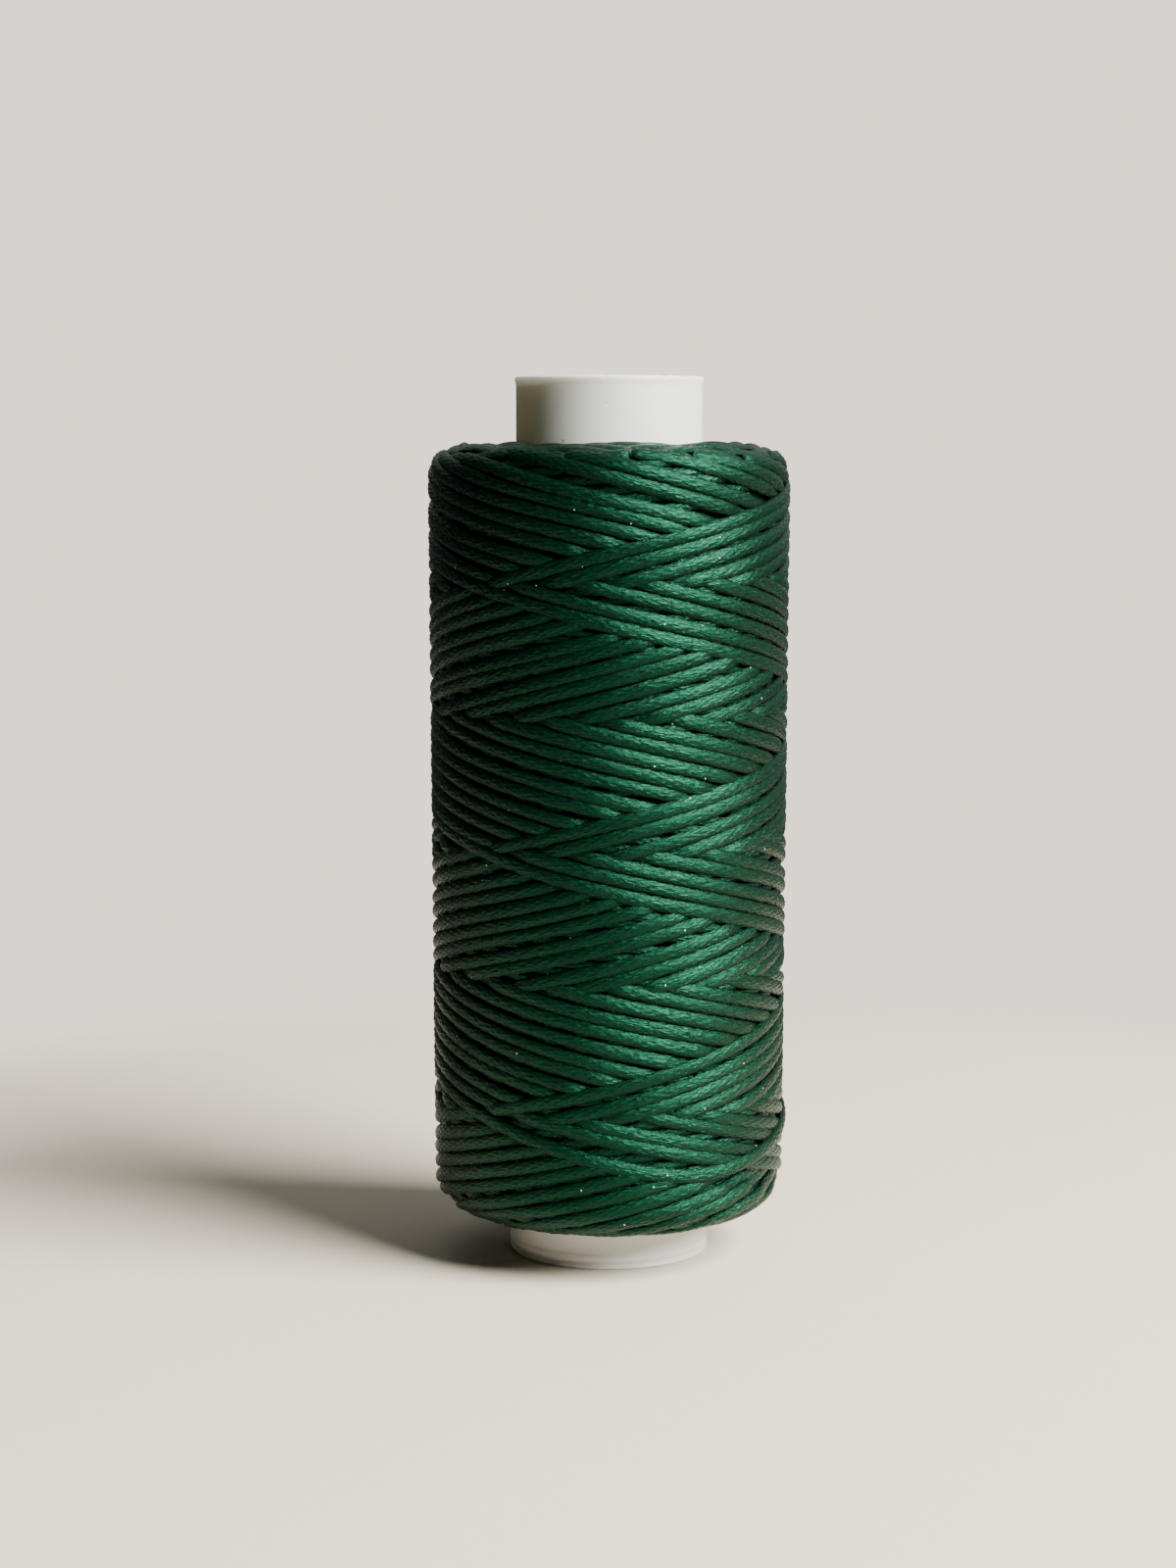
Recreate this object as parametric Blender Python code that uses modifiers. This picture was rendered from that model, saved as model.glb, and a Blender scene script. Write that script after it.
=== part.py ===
"""Spool of waxed sewing thread: one moulded plastic tube and one long flat thread wound on it.

Metres, +Z up. The origin is the centre of the tube's foot, on the surface it stands on, and the
front of the spool faces -Y. The thread is a single cord, so its objects are stretches of that cord
in the order in which they were wound: the first turns, the inner layers, the outer layers and the
last pass, which lies over the rest and ends the cord.
"""

import math

import bpy

# The tube, moulded in one with its foot.
TUBE_HEIGHT = 0.0800
TUBE_RADIUS = 0.0084
BORE_RADIUS = 0.0069
RIM_LIP = 0.0001
RIM_LIP_HEIGHT = 0.0006
EDGE_ROUNDING = 0.0002
FOOT_RADIUS = 0.00912
FLARE_RADIUS = 0.00898
FLARE_TOP = 0.0090
FLARE_BOTTOM = 0.0034
SHOULDER_HEIGHT = 0.0012
GROOVE_HEIGHT = 0.00048
GROOVE_RADIUS = 0.00890
BEAD_ROUNDING = 0.0002

# The wound package of thread.
PACKAGE_BOTTOM = 0.0042
PACKAGE_TOP = 0.0739
RADIUS_AT_TOP = 0.0158
RADIUS_AT_BOTTOM = 0.0154
TOP_SHOULDER = (0.0027, 0.0031)  # across, down
BOTTOM_SHOULDER = (0.0040, 0.0030)  # across, up
LAYER_SPLIT_RADIUS = 0.0111
FOOT_CLEAR_RADIUS = 0.0094

# The thread and the way that it is laid.
THREAD_RADIUS = 0.00025
TURN_WIDTH = 0.0011
FIRST_TURNS = 4
FIRST_TURNS_BOTTOM = 0.0100
FIRST_TURNS_THICKNESS = 0.0009
RISE_PER_TURN = 0.0232
LAST_PASS_START = 133.4  # degrees round from the front, towards +X
LAST_PASS_START_HEIGHT = 0.0726
TOP_TURN_SPREAD = 12.0
TURN_BACK = 3 * 360.0 + 30.0  # degrees round, where the last pass turns back up
TURN_BACK_HEIGHT = 0.0101
TURN_BACK_SPREAD = 20.0
BLEND_BEFORE_TURN = 90.0
FREE_END = TURN_BACK + 140.0
PASS_STEP = 12.0  # degrees between points along the last pass

GAP = 0.0003
TUBE_STEPS = 64
PACKAGE_STEPS = 64
INNER_STEPS = 48
MERGE_DISTANCE = 0.00001


def clear_scene():
    for old in list(bpy.data.objects):
        bpy.data.objects.remove(old)


def new_collection(name):
    made = bpy.data.collections.new(name)
    bpy.context.scene.collection.children.link(made)
    return made


def material(name, colour, roughness):
    made = bpy.data.materials.new(name)
    made.use_nodes = True
    shader = made.node_tree.nodes["Principled BSDF"]
    shader.inputs["Base Color"].default_value = (*colour, 1.0)
    shader.inputs["Roughness"].default_value = roughness
    shader.inputs["Metallic"].default_value = 0.0
    made.diffuse_color = (*colour, 1.0)
    return made


def arc(centre_x, centre_z, across, up, start, end, points):
    """Points of an ellipse's arc between two angles in degrees, from +X towards +Z."""
    found = []
    for index in range(points):
        angle = math.radians(start + (end - start) * index / (points - 1))
        found.append((centre_x + across * math.cos(angle), centre_z + up * math.sin(angle)))
    return found


def turned(name, outline, steps, finish, collection):
    """A solid of revolution about +Z. The outline runs down its outer side and up its inner one."""
    mesh = bpy.data.meshes.new(name)
    count = len(outline)
    edges = [(index, (index + 1) % count) for index in range(count)]
    mesh.from_pydata([(across, 0.0, height) for across, height in outline], edges, [])
    made = bpy.data.objects.new(name, mesh)
    collection.objects.link(made)
    screw = made.modifiers.new("turn", "SCREW")
    screw.axis = "Z"
    screw.angle = math.tau
    screw.steps = screw.render_steps = steps
    screw.use_merge_vertices = True
    screw.merge_threshold = MERGE_DISTANCE
    screw.use_smooth_shade = True
    made.data.materials.append(finish)
    return made


def smooth_step(value):
    value = min(max(value, 0.0), 1.0)
    return value * value * (3.0 - 2.0 * value)


def tube_outline():
    """Half a section through the tube: rim, wall, flared foot, groove and bead."""
    wall_top = TUBE_HEIGHT - RIM_LIP_HEIGHT
    lip_radius = TUBE_RADIUS + RIM_LIP
    points = arc(lip_radius - EDGE_ROUNDING, TUBE_HEIGHT - EDGE_ROUNDING,
                 EDGE_ROUNDING, EDGE_ROUNDING, 90, 0, 3)
    points.append((TUBE_RADIUS, wall_top))
    for index in range(5):
        way = index / 4
        height = FLARE_TOP + (FLARE_BOTTOM - FLARE_TOP) * way
        points.append((TUBE_RADIUS + (FLARE_RADIUS - TUBE_RADIUS) * smooth_step(way), height))
    points.append((FOOT_RADIUS, SHOULDER_HEIGHT))
    points.append((FOOT_RADIUS, GROOVE_HEIGHT + 2 * EDGE_ROUNDING))
    points.append((FOOT_RADIUS - EDGE_ROUNDING / 2, GROOVE_HEIGHT + EDGE_ROUNDING))
    points.append((GROOVE_RADIUS, GROOVE_HEIGHT))
    points += arc(FOOT_RADIUS - BEAD_ROUNDING, BEAD_ROUNDING, BEAD_ROUNDING, BEAD_ROUNDING, 60, -90, 4)
    points.append((BORE_RADIUS + EDGE_ROUNDING, 0.0))
    points.append((BORE_RADIUS, EDGE_ROUNDING))
    points.append((BORE_RADIUS, TUBE_HEIGHT - EDGE_ROUNDING))
    points.append((BORE_RADIUS + EDGE_ROUNDING, TUBE_HEIGHT))
    return points


def package_radius(height):
    """Outer radius of the package at a height: a slight taper with rounded ends."""
    way = (height - PACKAGE_BOTTOM) / (PACKAGE_TOP - PACKAGE_BOTTOM)
    radius = RADIUS_AT_BOTTOM + (RADIUS_AT_TOP - RADIUS_AT_BOTTOM) * way
    for (across, tall), from_end in (
        (TOP_SHOULDER, PACKAGE_TOP - height),
        (BOTTOM_SHOULDER, height - PACKAGE_BOTTOM),
    ):
        if from_end < tall:
            short = 1.0 - max(from_end, 0.0) / tall
            radius -= across * (1.0 - math.sqrt(max(1.0 - short * short, 0.0)))
    return radius


def outer_layers_outline():
    across, tall = TOP_SHOULDER
    radius = package_radius(PACKAGE_TOP - tall)
    points = arc(radius - across, PACKAGE_TOP - tall, across, tall, 90, 0, 6)
    across, tall = BOTTOM_SHOULDER
    radius = package_radius(PACKAGE_BOTTOM + tall)
    points += arc(radius - across, PACKAGE_BOTTOM + tall, across, tall, 0, -90, 6)
    inner = LAYER_SPLIT_RADIUS + GAP
    points[-1] = (inner, PACKAGE_BOTTOM)
    points.append((inner, PACKAGE_TOP))
    return points


def inner_layers_outline():
    """The layers round the tube, stepped to clear the first turns and the flare of the foot."""
    on_tube = TUBE_RADIUS + GAP
    over_turns = on_tube + FIRST_TURNS_THICKNESS + GAP
    turns_top = FIRST_TURNS_BOTTOM + FIRST_TURNS * TURN_WIDTH + GAP
    turns_bottom = FIRST_TURNS_BOTTOM - GAP
    return [
        (LAYER_SPLIT_RADIUS, PACKAGE_TOP),
        (LAYER_SPLIT_RADIUS, PACKAGE_BOTTOM),
        (FOOT_CLEAR_RADIUS, PACKAGE_BOTTOM),
        (FOOT_CLEAR_RADIUS, turns_bottom),
        (over_turns, turns_bottom),
        (over_turns, turns_top),
        (on_tube, turns_top),
        (on_tube, PACKAGE_TOP),
    ]


def first_turns_outline():
    """Turns lying side by side straight on the tube, which hold the inner end of the thread."""
    inner = TUBE_RADIUS + GAP
    top = FIRST_TURNS_BOTTOM + FIRST_TURNS * TURN_WIDTH
    valley = inner + 0.6 * FIRST_TURNS_THICKNESS
    bulge = 0.4 * FIRST_TURNS_THICKNESS
    points = [(inner, top)]
    for turn in range(FIRST_TURNS):
        middle = top - (turn + 0.5) * TURN_WIDTH
        points += arc(valley, middle, bulge, TURN_WIDTH / 2, 90, -90, 5)[0 if turn == 0 else 1:]
    points.append((inner, FIRST_TURNS_BOTTOM))
    return points


def last_pass_height(angle):
    """Height of the last pass at an angle round the spool: down a steady helix, then back up."""
    slope = RISE_PER_TURN / 360.0
    since_start = math.hypot(angle - LAST_PASS_START, TOP_TURN_SPREAD) - TOP_TURN_SPREAD
    helix = LAST_PASS_START_HEIGHT - slope * since_start
    from_turn = math.hypot(angle - TURN_BACK, TURN_BACK_SPREAD) - TURN_BACK_SPREAD
    valley = TURN_BACK_HEIGHT + slope * from_turn
    blend = smooth_step((angle - TURN_BACK + BLEND_BEFORE_TURN) / BLEND_BEFORE_TURN)
    return helix * (1.0 - blend) + valley * blend


def last_pass_points():
    count = round((FREE_END - LAST_PASS_START) / PASS_STEP)
    found = []
    for index in range(count + 1):
        angle = LAST_PASS_START + (FREE_END - LAST_PASS_START) * index / count
        height = last_pass_height(angle)
        radius = package_radius(height) + GAP + THREAD_RADIUS
        azimuth = math.radians(angle)
        found.append((radius * math.sin(azimuth), -radius * math.cos(azimuth), height))
    return found


def strand(name, points, finish, collection):
    """A length of thread along the points, as a bevelled curve with closed ends."""
    curve = bpy.data.curves.new(name, "CURVE")
    curve.dimensions = "3D"
    curve.bevel_depth = THREAD_RADIUS
    curve.bevel_resolution = 2
    curve.use_fill_caps = True
    spline = curve.splines.new("POLY")
    spline.points.add(len(points) - 1)
    for point, place in zip(spline.points, points):
        point.co = (*place, 1.0)
    spline.use_smooth = True
    curve.materials.append(finish)
    made = bpy.data.objects.new(name, curve)
    collection.objects.link(made)
    return made


def main():
    clear_scene()
    parts = new_collection("thread_spool")
    plastic = material("tube_plastic", (0.80, 0.79, 0.74), 0.42)
    thread = material("waxed_thread", (0.010, 0.085, 0.045), 0.45)
    turned("core_tube", tube_outline(), TUBE_STEPS, plastic, parts)
    turned("thread_first_turns", first_turns_outline(), INNER_STEPS, thread, parts)
    turned("thread_inner_layers", inner_layers_outline(), INNER_STEPS, thread, parts)
    turned("thread_outer_layers", outer_layers_outline(), PACKAGE_STEPS, thread, parts)
    strand("thread_last_pass", last_pass_points(), thread, parts)


main()
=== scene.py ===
"""The spool of waxed thread as it looks: every strand of the outer winding is laid as its own cord.

Metres, +Z up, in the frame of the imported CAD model; the front faces -Y. The thread is followed in
the order in which the winding machine laid it, so each crossing shows the later strand on top.
"""

import math

import bpy
import numpy as np
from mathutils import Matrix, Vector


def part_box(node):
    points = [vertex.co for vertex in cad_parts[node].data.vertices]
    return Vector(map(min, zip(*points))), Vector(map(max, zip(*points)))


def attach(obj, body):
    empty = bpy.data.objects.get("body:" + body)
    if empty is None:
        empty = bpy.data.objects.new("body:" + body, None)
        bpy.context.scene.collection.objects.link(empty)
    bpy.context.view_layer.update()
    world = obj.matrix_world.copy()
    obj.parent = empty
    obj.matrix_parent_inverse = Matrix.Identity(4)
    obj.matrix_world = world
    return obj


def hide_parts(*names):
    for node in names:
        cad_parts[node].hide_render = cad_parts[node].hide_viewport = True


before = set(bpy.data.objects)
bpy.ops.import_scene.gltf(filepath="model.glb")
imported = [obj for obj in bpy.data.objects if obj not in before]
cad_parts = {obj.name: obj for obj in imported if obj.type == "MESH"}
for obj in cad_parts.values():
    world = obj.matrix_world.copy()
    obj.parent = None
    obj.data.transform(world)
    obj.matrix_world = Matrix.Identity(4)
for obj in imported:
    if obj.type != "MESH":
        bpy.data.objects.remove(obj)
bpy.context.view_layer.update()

MM = 0.001
TAU = math.tau

# Places that the CAD model fixes.
TUBE_LOW, TUBE_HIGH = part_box("core_tube")
PACKAGE_LOW, PACKAGE_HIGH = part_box("thread_outer_layers")
TUBE_TOP = TUBE_HIGH.z
FOOT_RADIUS = TUBE_HIGH.x
PACKAGE_BOTTOM, PACKAGE_TOP = PACKAGE_LOW.z, PACKAGE_HIGH.z

# The tube's own sizes, as in the CAD model.
TUBE_RADIUS = 8.4 * MM
BORE_RADIUS = 6.9 * MM

# The thread: a flat waxed braid.
WIDTH = 1.24 * MM
THICKNESS = 0.74 * MM
LEVEL_STEP = 0.40 * MM  # how much lower a strand lies where it passes under another
BRAID_YARNS = 8
BRAID_PERIOD = 1.45 * MM
BRAID_RELIEF = 0.12 * MM
RING_STEP = 0.22 * MM  # between the rings of a visible strand
DRIFT = 0.14 * MM  # about how far a strand strays up or down
ROLL = math.radians(7)  # about how far it rolls over
SWELL = 0.05  # about how much its width varies, as a share
WAVER = 40 * MM  # sets the lengths of thread over which it rolls and swells

# The winding. A double traverse is a pass down the package and the next pass back up.
STRANDS = 17  # double traverses that fill the surface once, each way
PERIOD = 6.0 - 1.0 / STRANDS  # turns of the spool in a double traverse
REVERSAL = 0.055  # turns over which a pass turns round
REVERSAL_LIFT = (0.85 * MM, 0.55 * MM)  # how far the turning thread slips on outward, top and bottom
LIFT_REACH = 0.09  # turns before and after a reversal over which it slips
UNEVENNESS = 0.25 * MM  # how far above or below the usual height a pass may turn round
UNEVEN_REACH = 0.16  # turns before and after a reversal that this moves
LAST_TOP_AZIMUTH = math.radians(133.4)  # where the last pass leaves the top, from the front
RADIUS_TOP = PACKAGE_HIGH.x + 0.42 * MM
RADIUS_BOTTOM = PACKAGE_HIGH.x + 0.02 * MM
TOP_SHOULDER = (2.7 * MM, 3.1 * MM)  # across, down
BOTTOM_SHOULDER = (4.0 * MM, 3.0 * MM)  # across, up
TOP_REVERSAL = 1.79 * MM  # how far inside the end of the package the outer passes turn round
BOTTOM_REVERSAL = 0.89 * MM
CYCLE_DEPTH = 2 * LEVEL_STEP  # each filling of the surface is one strand down and one strand up
MOST_LEAN = math.radians(66)  # of the thread's flat side, where it turns over the ends
LEAN_REACH = 1.5 * MM  # how far from its end a deeper layer's thread begins to lean
HEART_DEPTH = 2.6 * CYCLE_DEPTH  # how far the plain heart lies inside the outermost strands

# The studio.
CAMERA_LENS = 69.75
CAMERA_PLACE = (-1.9 * MM, -276 * MM, 74.5 * MM)
CAMERA_DIP = math.radians(6.5)
MIDDLE_HEIGHT = 0.04
KEY_AZIMUTH, KEY_ELEVATION, KEY_DISTANCE = math.radians(58), math.radians(38), 0.6
KEY_SIZE, KEY_POWER, KEY_COLOUR = 0.42, 21.0, (0.965, 0.985, 0.95)
WALL_DIRECTION = (0.36, 0.55, 0.75)
WALL_GLOW = (0.56, 0.59, 0.565, 1.0)
ROOM_GLOW = (0.008, 0.0075, 0.006, 1.0)
FLOOR_GLOW = (0.115, 0.123, 0.11, 1.0)
BACKDROP = (1.80, 1.58, 1.36, 1.0)
FLOOR_RADIUS = 0.14

# The last pass turns back early, low on the front, and ends tucked under at the back.
TURN_BACK = (3 * 360.0 + 30.0) / 360.0 - LAST_TOP_AZIMUTH / TAU  # turns after leaving the top
TURN_BACK_SPREAD = 0.055
TURN_BACK_BLEND = 0.25  # turns before it over which the pass leaves its helix
FREE_END = 0.515  # turns from there to the end
TUCKED_END = 0.03  # turns of it that lie under


# ---------------------------------------------------------------- the path of the thread

def taper(height):
    way = (height - PACKAGE_BOTTOM) / (PACKAGE_TOP - PACKAGE_BOTTOM)
    return RADIUS_BOTTOM + (RADIUS_TOP - RADIUS_BOTTOM) * way


def shoulder(height):
    """The rounded ends: how far they fall inside the tapered side, and how far they face up or down."""
    drop, lean = np.zeros_like(height), np.zeros_like(height)
    for (across, tall), from_end, sign in (
        (TOP_SHOULDER, PACKAGE_TOP - height, 1.0),
        (BOTTOM_SHOULDER, height - PACKAGE_BOTTOM, -1.0),
    ):
        rise = np.clip(1.0 - from_end / tall, 0.0, 0.985)
        level = np.sqrt(1.0 - rise**2)
        drop += across * (1.0 - level)
        lean += sign * np.arctan2(rise / tall, level / across)
    return drop, np.clip(lean, -MOST_LEAN, MOST_LEAN)


def end_place(cycle, at_top):
    """Where a deeper layer's passes turn round: how far from the package's end, and their lean."""
    across, tall = TOP_SHOULDER if at_top else BOTTOM_SHOULDER
    level = max(1.0 - cycle * CYCLE_DEPTH / across, 0.0)
    rise = math.sqrt(1.0 - level**2)
    lean = min(math.atan2(rise / tall, level / across), MOST_LEAN)
    covered = cycle < (2 if at_top else 4)
    return tall * (1.0 - rise) + (2.2 if covered else 0.6) * LEVEL_STEP, lean


def apexes(cycle):
    if cycle == 0:
        return PACKAGE_TOP - TOP_REVERSAL, PACKAGE_BOTTOM + BOTTOM_REVERSAL
    return PACKAGE_TOP - end_place(cycle, True)[0], PACKAGE_BOTTOM + end_place(cycle, False)[0]


def slope_of(cycle):
    """Height per turn of a layer's passes."""
    top, bottom = apexes(cycle)
    return (top - bottom) / (PERIOD / 2 - 2 * REVERSAL)


def wander(turns, amount, seed):
    """A slow, smooth, seeded drift along the thread, which differs from one strand to the next."""
    dice = np.random.default_rng(seed)
    total = np.zeros_like(turns)
    for rate in (0.23, 0.61, 1.13, 1.9, 3.1):
        total += np.sin(TAU * (turns * rate * dice.uniform(0.9, 1.1) + dice.random())) / (1 + rate)
    return amount * total


def traverse(turns, cycle):
    """Height of the thread after so many turns, counted from the last time it left the top."""
    top, _ = apexes(cycle)
    slope = slope_of(cycle)
    phase = np.mod(turns, PERIOD)
    from_top = np.minimum(phase, PERIOD - phase)
    from_bottom = PERIOD / 2 - from_top
    height = top + slope * (REVERSAL - np.hypot(from_top, REVERSAL))
    height += slope * (np.hypot(from_bottom, REVERSAL) - from_bottom)
    # No two passes turn round at quite the same height.
    apex = np.round(turns / (PERIOD / 2)).astype(int)
    shift = np.random.default_rng(400 + cycle).uniform(-UNEVENNESS, UNEVENNESS, 4 * STRANDS)[apex]
    height += shift * np.exp(-((np.minimum(from_top, from_bottom) / UNEVEN_REACH) ** 2))
    if cycle > 0:
        return height
    lift_top, lift_bottom = REVERSAL_LIFT
    height += lift_top * np.exp(-((from_top / LIFT_REACH) ** 2))
    return height - lift_bottom * np.exp(-((from_bottom / LIFT_REACH) ** 2))


def ages(azimuth, height, cycle):
    """Which strands lie here: counts back from the newest, of those rising and those falling."""
    top, _ = apexes(cycle)
    slope = slope_of(cycle)
    sharp_top = top + slope * REVERSAL
    along = azimuth / TAU
    rising = STRANDS * np.mod((sharp_top - height) / slope + along, 1.0)
    falling = STRANDS * np.mod((height - sharp_top) / slope + along, 1.0)
    return [np.where(age > STRANDS - 0.5, age - STRANDS, age) for age in (rising, falling)]


def smoothed(values, samples):
    """The values blurred along the thread."""
    reach = np.arange(-3 * samples, 3 * samples + 1)
    weights = np.exp(-0.5 * (reach / samples) ** 2)
    padded = np.pad(values, 3 * samples, mode="edge")
    return np.convolve(padded, weights / weights.sum(), mode="valid")


def crossing_level(turns, height, cycle, spread):
    """1 where the strand lies over the one it crosses and 0 where it lies under it, eased between."""
    rising, falling = ages(turns * TAU, height, cycle)
    double = np.floor(turns / PERIOD)  # -1 is the last whole one, and 0 is the last pass down
    phase = np.mod(turns, PERIOD)
    own_down = -double
    own_up = -double - 1
    over = np.where(phase < PERIOD / 2, rising > own_down - 0.5, falling > own_up + 0.5).astype(float)
    # Where a pass turns round it crosses its neighbours at a small angle, so it changes level slowly.
    from_turn = np.minimum(np.minimum(phase, PERIOD - phase), np.abs(phase - PERIOD / 2))
    slowly = np.exp(-((from_turn / 0.10) ** 2))
    return smoothed(over, spread) * (1 - slowly) + smoothed(over, 5 * spread) * slowly


def frame_along(points, normals):
    """Tangent, width direction and normal at each point of a path."""
    tangents = np.gradient(points, axis=0)
    tangents /= np.linalg.norm(tangents, axis=1, keepdims=True)
    sides = np.cross(normals, tangents)
    sides /= np.linalg.norm(sides, axis=1, keepdims=True)
    return tangents, sides, np.cross(tangents, sides)


def lay(turns, cycle, height, level, start=LAST_TOP_AZIMUTH):
    """Places a stretch of thread: its centre line and the way its flat side faces."""
    azimuth = start + TAU * turns
    depth = cycle * CYCLE_DEPTH + LEVEL_STEP * (1.5 - level)
    if cycle == 0:
        drop, lean = shoulder(height)
        radius = taper(height) - drop - depth * np.cos(lean)
        height = height - depth * np.sin(lean) * 0.5
    else:
        radius = taper(height) - depth
        top, bottom = apexes(cycle)
        near_top = np.exp(-(((height - top) / LEAN_REACH) ** 2))
        near_bottom = np.exp(-(((height - bottom) / LEAN_REACH) ** 2))
        lean = near_top * end_place(cycle, True)[1] - near_bottom * end_place(cycle, False)[1]
    outward = np.stack([np.sin(azimuth), -np.cos(azimuth), np.zeros_like(azimuth)], axis=1)
    points = outward * radius[:, None]
    points[:, 2] = height
    up = np.array([0.0, 0.0, 1.0])
    normals = outward * np.cos(lean)[:, None] + up * np.sin(lean)[:, None]
    return points, normals


# ---------------------------------------------------------------- meshes

def section(count_front, count_back):
    """Angles round a strand's section, closer together on its outer face. It starts underneath."""
    half = math.radians(95)
    front = np.linspace(-half, half, count_front)
    back = np.linspace(half, TAU - half, count_back + 2)[1:-1]
    angles = np.concatenate([back[back >= math.pi] - TAU, front, back[back < math.pi]])
    return np.sort(angles)


def braid_height(along, round_):
    """Height of the braid's surface, from 0 to 1: two families of yarns that pass over each other."""
    one = BRAID_YARNS * round_ + along / BRAID_PERIOD
    other = BRAID_YARNS * round_ - along / BRAID_PERIOD

    def crown(value):
        return 1.0 - (2.0 * (value - np.round(value))) ** 2

    one_height = crown(one) + 0.6 * np.cos(math.pi * (np.round(one) + other))
    other_height = crown(other) - 0.6 * np.cos(math.pi * (one + np.round(other)))
    return np.clip(np.maximum(one_height, other_height) / 1.6, 0.0, 1.0)


def cord(points, normals, angles, seed, width=WIDTH, thickness=THICKNESS, relief=BRAID_RELIEF):
    """Vertices, faces, texture places and relief of one length of thread."""
    dice = np.random.default_rng(seed)
    steps = np.linalg.norm(np.diff(points, axis=0), axis=1)
    along = np.concatenate([[0.0], np.cumsum(steps)]) + dice.uniform(0, 1)
    tangents, sides, normals = frame_along(points, normals)
    waver = along / WAVER
    roll = wander(waver, ROLL, seed + 1)
    widths = width * (1.0 + wander(waver * 1.7, SWELL, seed + 2))
    turned_sides = sides * np.cos(roll)[:, None] + normals * np.sin(roll)[:, None]
    turned_normals = normals * np.cos(roll)[:, None] - sides * np.sin(roll)[:, None]
    across, up = np.sin(angles), np.cos(angles)
    round_ = (angles + math.pi) / TAU
    lift = braid_height(along[:, None], round_[None, :])
    # The ends are drawn together, so that a cut end closes.
    ends = np.clip(np.minimum(along - along[0], along[-1] - along) / (0.5 * width), 0.0, 1.0)
    close = 0.35 + 0.65 * np.sqrt(ends)
    half_width = (widths * close / 2)[:, None] + relief * (lift - 0.5)
    half_thick = (thickness * close / 2)[:, None] + relief * (lift - 0.5)
    places = (
        points[:, None, :]
        + turned_sides[:, None, :] * (half_width * across[None, :])[:, :, None]
        + turned_normals[:, None, :] * (half_thick * up[None, :])[:, :, None]
    )
    rings, count = lift.shape
    ring = np.arange(rings - 1)[:, None] * count
    here = np.arange(count)[None, :]
    after = (here + 1) % count
    faces = np.stack([ring + here, ring + count + here, ring + count + after, ring + after], axis=2)
    texture_round = np.append(round_, round_[0] + 1.0)
    places_u = np.broadcast_to(along[:, None], (rings, count + 1))
    places_v = np.broadcast_to(texture_round[None, :], (rings, count + 1))
    corner = np.stack([places_u, places_v], axis=2)
    texture = np.stack([corner[:-1, :-1], corner[1:, :-1], corner[1:, 1:], corner[:-1, 1:]], axis=2)
    caps = [list(range(count - 1, -1, -1)), list(range((rings - 1) * count, rings * count))]
    return places.reshape(-1, 3), faces.reshape(-1, 4), texture.reshape(-1, 2), lift.reshape(-1), caps


def build(name, cords, materials, seed_tone):
    """One object from several cords."""
    vertices, faces, textures, lifts, tones, start = [], [], [], [], [], 0
    dice = np.random.default_rng(seed_tone)
    for places, quads, texture, lift, caps in cords:
        vertices.append(places)
        faces += (quads + start).tolist()
        textures.append(texture)
        for cap in caps:
            faces.append([index + start for index in cap])
            textures.append(np.zeros((len(cap), 2)))
        lifts.append(lift)
        tones.append(np.full(len(lift), dice.random()))
        start += len(places)
    mesh = bpy.data.meshes.new(name)
    mesh.from_pydata(np.concatenate(vertices), [], faces, shade_flat=False)
    # Faces were added cord by cord, so the corners are in the same order as the textures.
    layer = mesh.uv_layers.new(name="thread")
    layer.data.foreach_set("uv", np.concatenate(textures).astype(np.float32).ravel())
    for label, values in (("relief", lifts), ("tone", tones)):
        attribute = mesh.attributes.new(label, "FLOAT", "POINT")
        attribute.data.foreach_set("value", np.concatenate(values).astype(np.float32))
    made = bpy.data.objects.new(name, mesh)
    bpy.context.scene.collection.objects.link(made)
    for finish in materials:
        mesh.materials.append(finish)
    return made


def turned(name, outline, steps, finish, ripple=None):
    """A solid of revolution from (radius, height) points that run down its outer side."""
    outline = np.array(outline)
    angles = np.linspace(0, TAU, steps, endpoint=False)
    radius = np.broadcast_to(outline[None, :, 0], (steps, len(outline))).copy()
    height = np.broadcast_to(outline[None, :, 1], (steps, len(outline))).copy()
    if ripple is not None:
        change_radius, change_height = ripple(angles[:, None], radius, height)
        radius += change_radius
        height += change_height
    places = np.stack([radius * np.sin(angles)[:, None], -radius * np.cos(angles)[:, None], height], axis=2)
    count = len(outline)
    column = np.arange(steps)[:, None]
    row = np.arange(count)[None, :]
    next_column, next_row = (column + 1) % steps, (row + 1) % count
    faces = np.stack([column * count + row, column * count + next_row,
                      next_column * count + next_row, next_column * count + row], axis=2)
    mesh = bpy.data.meshes.new(name)
    mesh.from_pydata(places.reshape(-1, 3), [], faces.reshape(-1, 4).tolist(), shade_flat=False)
    mesh.materials.append(finish)
    made = bpy.data.objects.new(name, mesh)
    bpy.context.scene.collection.objects.link(made)
    return made


# ---------------------------------------------------------------- materials

def add_node(tree, kind, inputs=None, **settings):
    """A new node with its settings, each input either linked from a socket or set to a value."""
    node = tree.nodes.new(kind)
    for key, value in settings.items():
        setattr(node, key, value)
    for key, value in (inputs or {}).items():
        if isinstance(value, bpy.types.NodeSocket):
            tree.links.new(value, node.inputs[key])
        else:
            node.inputs[key].default_value = value
    return node


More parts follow.
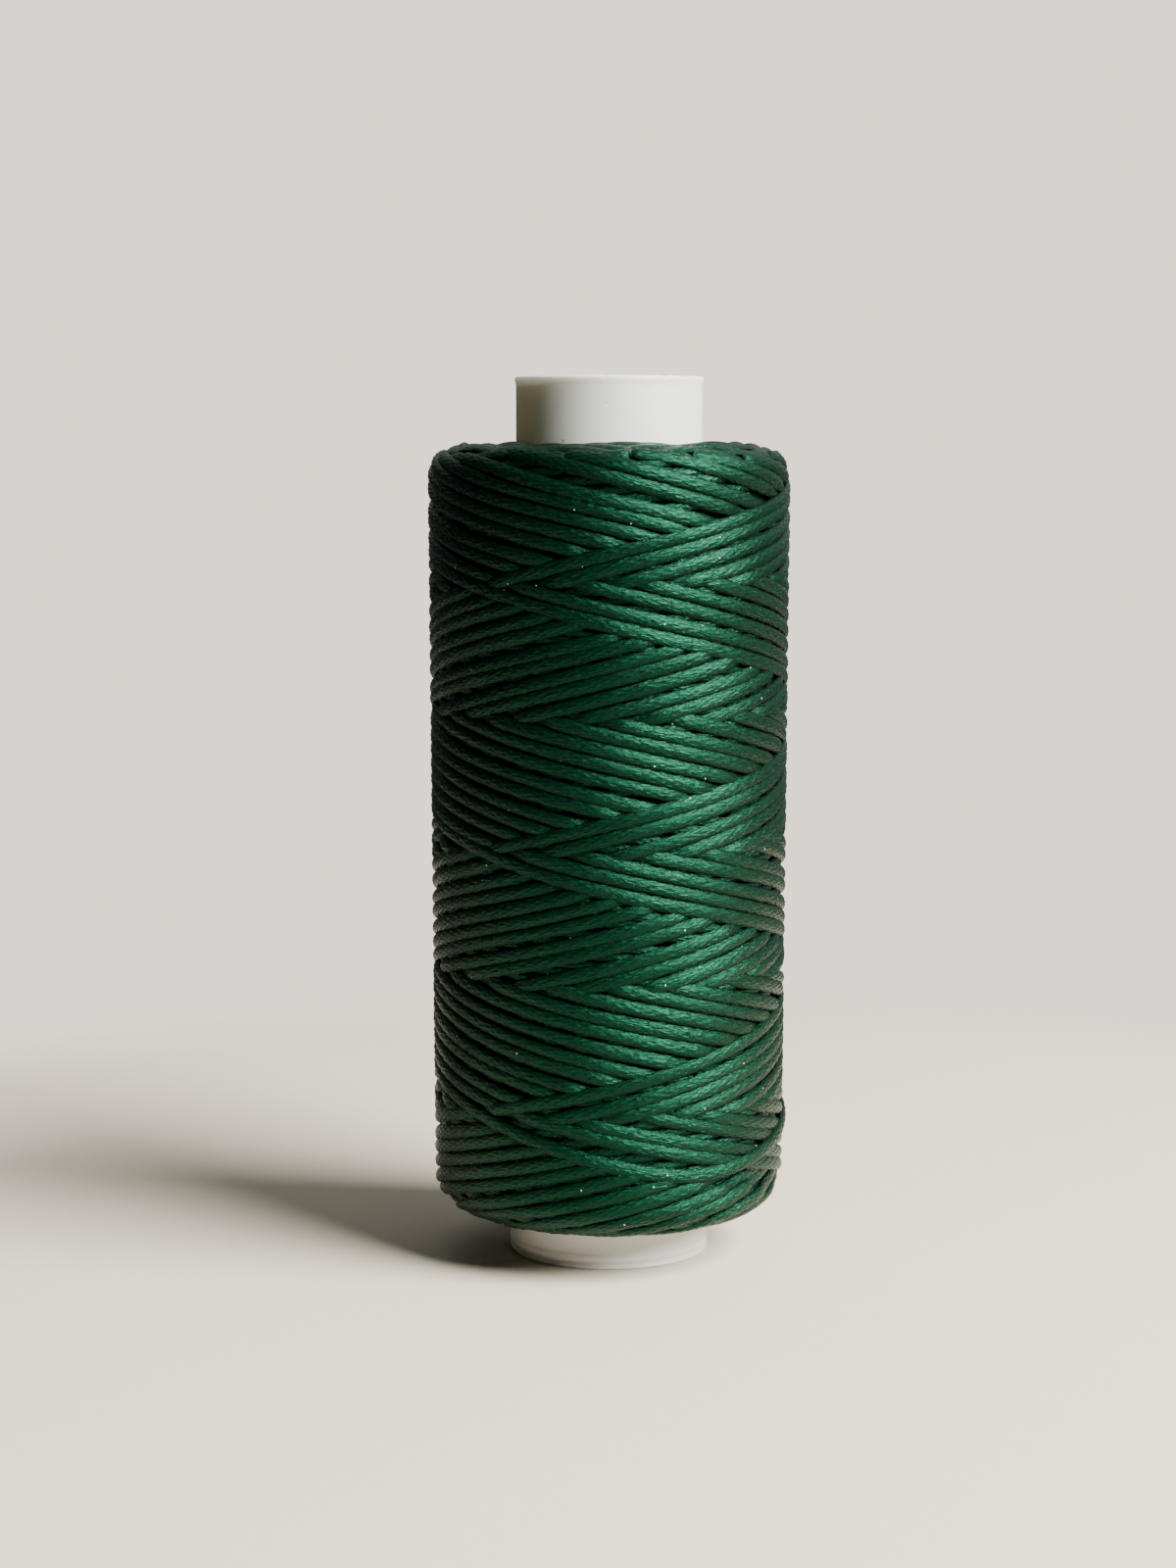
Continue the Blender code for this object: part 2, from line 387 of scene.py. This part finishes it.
class Nodes:
    """Short names for building a material's nodes."""

    def __init__(self, name):
        self.material = bpy.data.materials.new(name)
        self.material.use_nodes = True
        self.tree = self.material.node_tree
        self.shader = self.tree.nodes["Principled BSDF"]

    def add(self, kind, inputs=None, **settings):
        return add_node(self.tree, kind, inputs, **settings)

    def math(self, operation, first, second=0.0):
        return self.add("ShaderNodeMath", {0: first, 1: second}, operation=operation).outputs[0]

    def blend(self, factor, first, second):
        """A mix of two colours, each a socket or plain red, green and blue."""
        colours = {
            index: value if isinstance(value, bpy.types.NodeSocket) else (*value, 1.0)
            for index, value in ((6, first), (7, second))
        }
        return self.add("ShaderNodeMix", {"Factor": factor, **colours}, data_type="RGBA").outputs[2]

    def ramp(self, value, low, high, to_low=0.0, to_high=1.0):
        inputs = {"Value": value, "From Min": low, "From Max": high, "To Min": to_low, "To Max": to_high}
        return self.add("ShaderNodeMapRange", inputs, interpolation_type="SMOOTHSTEP").outputs[0]

    def link(self, output, name):
        self.tree.links.new(output, self.shader.inputs[name])


def waxed_thread():
    """Dark green braided polyester under a thin coat of wax."""
    n = Nodes("waxed_thread")
    place = n.add("ShaderNodeUVMap", uv_map="thread").outputs[0]
    relief = n.add("ShaderNodeAttribute", attribute_name="relief").outputs["Fac"]
    tone = n.add("ShaderNodeAttribute", attribute_name="tone").outputs["Fac"]
    # Texture places in units of about a millimetre: along the thread, then round it.
    stretch = n.add("ShaderNodeMapping", {"Vector": place, "Scale": (1000.0, 3.0, 1.0)}).outputs[0]
    fibres = n.add("ShaderNodeMapping", {"Vector": place, "Scale": (1450.0, 32.0, 1.0)}).outputs[0]
    dashes = n.add("ShaderNodeTexNoise", {"Vector": fibres, "Scale": 1.0, "Detail": 3.0}).outputs[0]
    clumps = n.add("ShaderNodeTexNoise", {"Vector": fibres, "Scale": 0.33, "Detail": 2.0}).outputs[0]
    patches = n.add("ShaderNodeTexNoise", {"Vector": stretch, "Scale": 0.12, "Detail": 2.0}).outputs[0]
    deep, mid, light = (0.0, 0.0004, 0.0001), (0.0001, 0.0044, 0.0015), (0.0003, 0.026, 0.0105)
    # Painted shade: the low places of the braid, between its yarns, are coloured darker, from mid to deep
    # green.
    colour = n.blend(n.ramp(relief, 0.2, 0.85), deep, mid)
    # Painted highlight: lighter green along the fibre dashes stands for glints on the filaments.
    colour = n.blend(n.math("MULTIPLY", n.ramp(dashes, 0.45, 0.72), 0.75), colour, light)
    shade = n.math("ADD", n.math("MULTIPLY", patches, 0.5), n.math("MULTIPLY", tone, 0.25))
    colour = n.blend(n.math("MULTIPLY", n.ramp(shade, 0.2, 0.6), 0.25), colour, deep)
    # Painted shade: the colour darkens away from the crown, over the flanks and where the strand turns
    # under. Painted highlight: a pale broken line along its lower edge stands for the floor's reflection.
    side = n.add("ShaderNodeSeparateXYZ", {0: place}).outputs[1]
    off_crown = n.math("ABSOLUTE", n.math("SUBTRACT", side, 0.5))
    colour = n.blend(n.ramp(off_crown, 0.09, 0.22, 0.0, 0.9), colour, deep)
    # Painted highlight: the pale line along the lower edge, broken up by the clumps noise, stands for the
    # floor's reflection.
    off_edge = n.math("ABSOLUTE", n.math("SUBTRACT", side, 0.285))
    edge = n.math("MULTIPLY", n.ramp(off_edge, 0.008, 0.022, 1.0, 0.0), n.ramp(clumps, 0.4, 0.6, 0.05, 0.5))
    colour = n.blend(edge, colour, (0.035, 0.075, 0.058))
    specks = n.add("ShaderNodeTexVoronoi", {"Vector": stretch, "Scale": 0.16}, voronoi_dimensions="2D")
    speck = n.ramp(specks.outputs["Distance"], 0.007, 0.011, 1.0, 0.0)
    colour = n.blend(speck, colour, (0.62, 0.66, 0.62))
    n.link(colour, "Base Color")
    gloss = n.math("ADD", n.math("MULTIPLY", dashes, 0.65), n.math("MULTIPLY", relief, 0.35))
    n.link(n.ramp(gloss, 0.36, 0.70, 0.53, 0.22), "Roughness")
    height = n.math("ADD", dashes, n.math("MULTIPLY", clumps, 0.9))
    height = n.math("ADD", height, n.math("MULTIPLY", speck, 0.5))
    bump = n.add("ShaderNodeBump", {"Height": height, "Strength": 1.0, "Distance": 0.00011})
    n.link(bump.outputs[0], "Normal")
    n.shader.inputs["Specular IOR Level"].default_value = 0.36
    n.shader.inputs["Specular Tint"].default_value = (0.15, 1.0, 0.57, 1.0)
    return n.material


def tube_plastic():
    """Off-white moulded plastic, a little cloudy, with the odd dark speck."""
    n = Nodes("tube_plastic")
    place = n.add("ShaderNodeTexCoord").outputs["Object"]
    cloud = n.add("ShaderNodeTexNoise", {"Vector": place, "Scale": 180.0, "Detail": 3.0}).outputs[0]
    grain = n.add("ShaderNodeTexNoise", {"Vector": place, "Scale": 2500.0, "Detail": 2.0}).outputs[0]
    colour = n.blend(cloud, (0.64, 0.63, 0.58), (0.72, 0.712, 0.67))
    specks = n.add("ShaderNodeTexVoronoi", {"Vector": place, "Scale": 330.0})
    speck = n.ramp(specks.outputs["Distance"], 0.03, 0.06, 0.7, 0.0)
    colour = n.blend(speck, colour, (0.25, 0.20, 0.15))
    n.link(colour, "Base Color")
    n.link(n.ramp(cloud, 0.3, 0.7, 0.36, 0.5), "Roughness")
    bump = n.add("ShaderNodeBump", {"Height": grain, "Strength": 0.25, "Distance": 0.00003})
    n.link(bump.outputs[0], "Normal")
    n.shader.inputs["Subsurface Weight"].default_value = 0.5
    n.shader.inputs["Subsurface Radius"].default_value = (0.0023, 0.0021, 0.0019)
    n.shader.inputs["Subsurface Scale"].default_value = 1.0
    return n.material


def floor_finish():
    """A plain pale floor that fades into the backdrop behind the spool."""
    n = Nodes("floor")
    place = n.add("ShaderNodeTexCoord").outputs["Object"]
    grain = n.add("ShaderNodeTexNoise", {"Vector": place, "Scale": 900.0, "Detail": 4.0}).outputs[0]
    n.link(n.blend(grain, (0.61, 0.525, 0.42), (0.67, 0.58, 0.475)), "Base Color")
    n.shader.inputs["Roughness"].default_value = 0.9
    distance = n.add("ShaderNodeVectorMath", {0: place}, operation="LENGTH").outputs["Value"]
    n.link(n.ramp(distance, FLOOR_RADIUS - 0.045, FLOOR_RADIUS - 0.005, 1.0, 0.0), "Alpha")
    return n.material


# ---------------------------------------------------------------- the pieces

def thread_pieces(finish):
    fine = 1.0
    angles = section(17, 4)
    pieces = []
    step = fine * RING_STEP / (TAU * RADIUS_TOP)
    # Each piece is one double traverse, down and back up. The newest, number 0, is only a pass down.
    for number in range(1, STRANDS):
        first = -number * PERIOD
        turns = np.linspace(first, first + PERIOD, round(PERIOD / step))
        pieces.append(strand_piece(f"thread_traverse_{number:02d}", turns, angles, finish, number, fine))
    pieces.append(last_pass(angles, finish, fine))
    return pieces


def strand_piece(name, turns, angles, finish, number, fine):
    height = traverse(turns, 0)
    level = crossing_level(turns, height, 0, max(round(3 / fine), 1))
    height = height + wander(turns, DRIFT, 7)
    points, normals = lay(turns, 0, height, level)
    return build(name, [cord(points, normals, angles, 50 + number)], [finish], number)


def last_pass(angles, finish, fine):
    """The last pass down, its early turn back on the front and the tucked end."""
    step = fine * RING_STEP / (TAU * RADIUS_TOP)
    end = TURN_BACK + FREE_END
    turns = np.linspace(0.0, end, round(end / step))
    slope = slope_of(0)
    from_turn = turns - TURN_BACK
    valley_bottom = traverse(np.array([TURN_BACK]), 0)[0]
    valley = valley_bottom + slope * (np.hypot(from_turn, TURN_BACK_SPREAD) - TURN_BACK_SPREAD)
    blend = np.clip(from_turn / TURN_BACK_BLEND + 1.0, 0.0, 1.0)
    blend = blend * blend * (3 - 2 * blend)
    height = traverse(turns, 0) * (1 - blend) + valley * blend + wander(turns, DRIFT, 7)
    # Once it has turned back it lies over its own pass too, and its very end goes under.
    level = 1.0 + 0.8 * np.clip(from_turn / 0.1 + 0.5, 0.0, 1.0)
    level = np.where(turns > end - TUCKED_END, 0.0, level)
    level = smoothed(level, max(round(5 / fine), 1))
    points, normals = lay(turns, 0, height, level)
    return build("thread_last_pass_strand", [cord(points, normals, angles, 50)], [finish], 0)


def under_layer(finish):
    """The layer just below, seen in the gaps between strands."""
    angles = section(7, 3)
    ring_step = 0.9 * MM * 1.0
    drift = 0.12 * MM
    start = LAST_TOP_AZIMUTH + 2.1  # this layer's passes leave the top elsewhere
    made = []
    for half in range(2):
        cords = []
        for number in range(half, STRANDS, 2):
            first = -number * PERIOD
            turns = np.linspace(first, first + PERIOD, round(PERIOD * TAU * RADIUS_TOP / ring_step))
            height = traverse(turns, 1)
            level = crossing_level(turns, height, 1, 1)
            height = height + wander(turns, drift, 9)
            points, normals = lay(turns, 1, height, level, start)
            cords.append(cord(points, normals, angles, 150 + number, relief=0.0))
        made.append(build(f"thread_under_layer_{half + 1}", cords, [finish], 90 + half))
    return made


def end_turns(name, at_top, finish):
    """The turns of the deeper layers where they reach an end face of the package."""
    angles = section(7, 4)
    reach, rings = 0.15, 44  # turns before and after each reversal, and the rings over both
    cords = []
    deepest = int((RADIUS_BOTTOM - TUBE_RADIUS - LEVEL_STEP) / CYCLE_DEPTH)
    for cycle in range(2, deepest + 1):
        start = LAST_TOP_AZIMUTH + 2.4 * cycle
        for number in range(STRANDS):
            middle = -number * PERIOD - (0.0 if at_top else PERIOD / 2)
            turns = np.linspace(middle - reach, middle + reach, rings)
            height = traverse(turns, cycle)
            level = smoothed((turns > middle).astype(float), 4)
            points, normals = lay(turns, cycle, height, level, start)
            cords.append(cord(points, normals, angles, 300 + 20 * cycle + number,
                              width=1.1 * MM, thickness=0.42 * MM, relief=0.0))
    return build(name, cords, [finish], 70 + at_top)


def bed(finish):
    """The solid heart of the package under the modelled strands."""
    outer_top = RADIUS_TOP - HEART_DEPTH
    outer_bottom = RADIUS_BOTTOM - HEART_DEPTH
    chamfer = 1.5 * MM
    inner = TUBE_RADIUS + 0.75 * MM
    low, high = PACKAGE_BOTTOM + 1.6 * MM, PACKAGE_TOP - 1.3 * MM
    outline = [(outer_top - chamfer, high), (outer_top, high - chamfer),
               (outer_bottom, low + chamfer), (outer_bottom - chamfer, low), (inner, low), (inner, high)]
    return turned("thread_bed", outline, 96, finish)


def arc(centre, size, start, end, count):
    angles = np.radians(np.linspace(start, end, count))
    return [(centre[0] + size * math.cos(angle), centre[1] + size * math.sin(angle)) for angle in angles]


def tube_outline():
    """The tube's section, as in the CAD model but with finer rounding."""
    lip, edge = 0.1 * MM, 0.2 * MM
    points = arc((TUBE_RADIUS + lip - edge, TUBE_TOP - edge), edge, 90, 0, 6)
    points.append((TUBE_RADIUS + lip, TUBE_TOP - 0.4 * MM))
    points.append((TUBE_RADIUS + 0.02 * MM, TUBE_TOP - 0.65 * MM))
    points += [(TUBE_RADIUS, TUBE_TOP - down * MM) for down in (1.0, 2.5, 4.5, 6.5, 30.0, 55.0)]
    for way in np.linspace(0, 1, 12):
        grow = way * way * (3 - 2 * way)
        points.append((TUBE_RADIUS + 0.58 * MM * grow, (9.0 - 5.6 * way) * MM))
    # A faint step, a rounded edge, a fine groove and the bead that the tube stands on.
    for inside, height in ((0.13, 2.4), (0.11, 1.45), (0.085, 1.35), (0.03, 1.22), (0.0, 1.12)):
        points.append((FOOT_RADIUS - inside * MM, height * MM))
    points += arc((FOOT_RADIUS - 0.2 * MM, 0.86 * MM), 0.2 * MM, 0, -65, 6)
    points += [(FOOT_RADIUS - 0.22 * MM, 0.55 * MM), (FOOT_RADIUS - 0.22 * MM, 0.44 * MM)]
    points += arc((FOOT_RADIUS - 0.2 * MM, 0.2 * MM), 0.2 * MM, 70, -90, 8)
    points += [(BORE_RADIUS + edge, 0.0), (BORE_RADIUS, edge)]
    points += [(BORE_RADIUS, height * MM) for height in (20.0, 40.0, 60.0, 74.0)]
    points += arc((BORE_RADIUS + edge, TUBE_TOP - edge), edge, 180, 90, 4)
    return points


def rim_ripple(angles, radius, height):
    """The cut rim is slightly uneven, with a few nicks."""
    near_top = np.clip((height - (TUBE_TOP - 0.5 * MM)) / (0.5 * MM), 0.0, 1.0)
    uneven = sum(np.sin(rate * angles + 1.7 * rate) / rate**0.5 for rate in (3, 7, 13, 29, 41))
    nicks = sum(np.exp(-((np.mod(angles - at + math.pi, TAU) - math.pi) / wide) ** 2) * deep
                for at, wide, deep in ((0.62, 0.02, 1.0), (0.88, 0.035, 0.8), (-0.05, 0.012, 0.7),
                                       (2.4, 0.02, 1.0), (-1.9, 0.03, 0.8)))
    return (-0.02 * MM * near_top * uneven * 0.5 - 0.05 * MM * near_top * nicks,
            -0.05 * MM * near_top * (1.2 + uneven * 0.5) * 0.5 - 0.14 * MM * near_top * nicks)


def camera_and_light():
    """The camera stands at the reference view; one soft key light comes from the right."""
    data = bpy.data.cameras.new("camera")
    data.lens = CAMERA_LENS
    camera = bpy.data.objects.new("camera", data)
    camera.location = CAMERA_PLACE
    camera.rotation_euler = (math.pi / 2 - CAMERA_DIP, 0, 0)
    bpy.context.scene.collection.objects.link(camera)
    bpy.context.scene.camera = camera
    across = math.cos(KEY_ELEVATION) * KEY_DISTANCE
    place = (math.sin(KEY_AZIMUTH) * across, -math.cos(KEY_AZIMUTH) * across,
             math.sin(KEY_ELEVATION) * KEY_DISTANCE + MIDDLE_HEIGHT)
    area_light("key", place, KEY_SIZE, KEY_POWER, KEY_COLOUR)
    studio_world()


def studio_world():
    """A bright backdrop behind and above, a dim room in front, and the floor's glow below."""
    world = bpy.data.worlds.new("studio")
    world.use_nodes = True
    bpy.context.scene.world = world
    tree = world.node_tree
    direction = add_node(tree, "ShaderNodeTexCoord").outputs["Generated"]
    toward_wall = add_node(tree, "ShaderNodeVectorMath", {0: direction, 1: WALL_DIRECTION},
                           operation="DOT_PRODUCT").outputs["Value"]
    wall = add_node(tree, "ShaderNodeMapRange", {"Value": toward_wall, "From Min": 0.25, "From Max": 0.95},
                    interpolation_type="SMOOTHSTEP").outputs[0]
    upward = add_node(tree, "ShaderNodeSeparateXYZ", {0: direction}).outputs[2]
    below = add_node(tree, "ShaderNodeMapRange",
                     {"Value": upward, "From Min": 0.0, "From Max": -0.15}).outputs[0]
    seen = add_node(tree, "ShaderNodeLightPath").outputs["Is Camera Ray"]
    colour = ROOM_GLOW
    for factor, other in ((wall, WALL_GLOW), (below, FLOOR_GLOW), (seen, BACKDROP)):
        colour = add_node(tree, "ShaderNodeMix", {"Factor": factor, 6: colour, 7: other},
                          data_type="RGBA").outputs[2]
    tree.links.new(colour, tree.nodes["Background"].inputs["Color"])


def area_light(name, place, size, power, colour):
    data = bpy.data.lights.new(name, "AREA")
    data.shape = "DISK"
    data.size = size
    data.energy = power
    data.color = colour
    light = bpy.data.objects.new(name, data)
    light.location = place
    aim = Vector((0, 0, MIDDLE_HEIGHT)) - light.location
    light.rotation_euler = aim.to_track_quat("-Z", "Y").to_euler()
    light.visible_camera = False
    bpy.context.scene.collection.objects.link(light)


def main():
    camera_and_light()
    bpy.ops.mesh.primitive_circle_add(vertices=96, radius=FLOOR_RADIUS, fill_type="NGON")
    floor = bpy.context.object
    floor.name = "floor"
    floor.data.materials.append(floor_finish())

    thread = waxed_thread()
    strands = thread_pieces(thread)
    under = under_layer(thread)
    ends = [end_turns("thread_top_end", True, thread), end_turns("thread_bottom_end", False, thread)]
    heart = bed(thread)
    tube = turned("tube_body", tube_outline(), 256, tube_plastic(), rim_ripple)
    for piece in (*strands, *under, *ends, heart):
        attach(piece, "root")
    for piece in (*strands[:-1], *under):
        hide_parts("thread_outer_layers")
    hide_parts("thread_last_pass")
    for piece in ends:
        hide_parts("thread_inner_layers")
    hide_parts("thread_first_turns", "thread_inner_layers")
    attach(tube, "root")
    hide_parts("core_tube")


main()
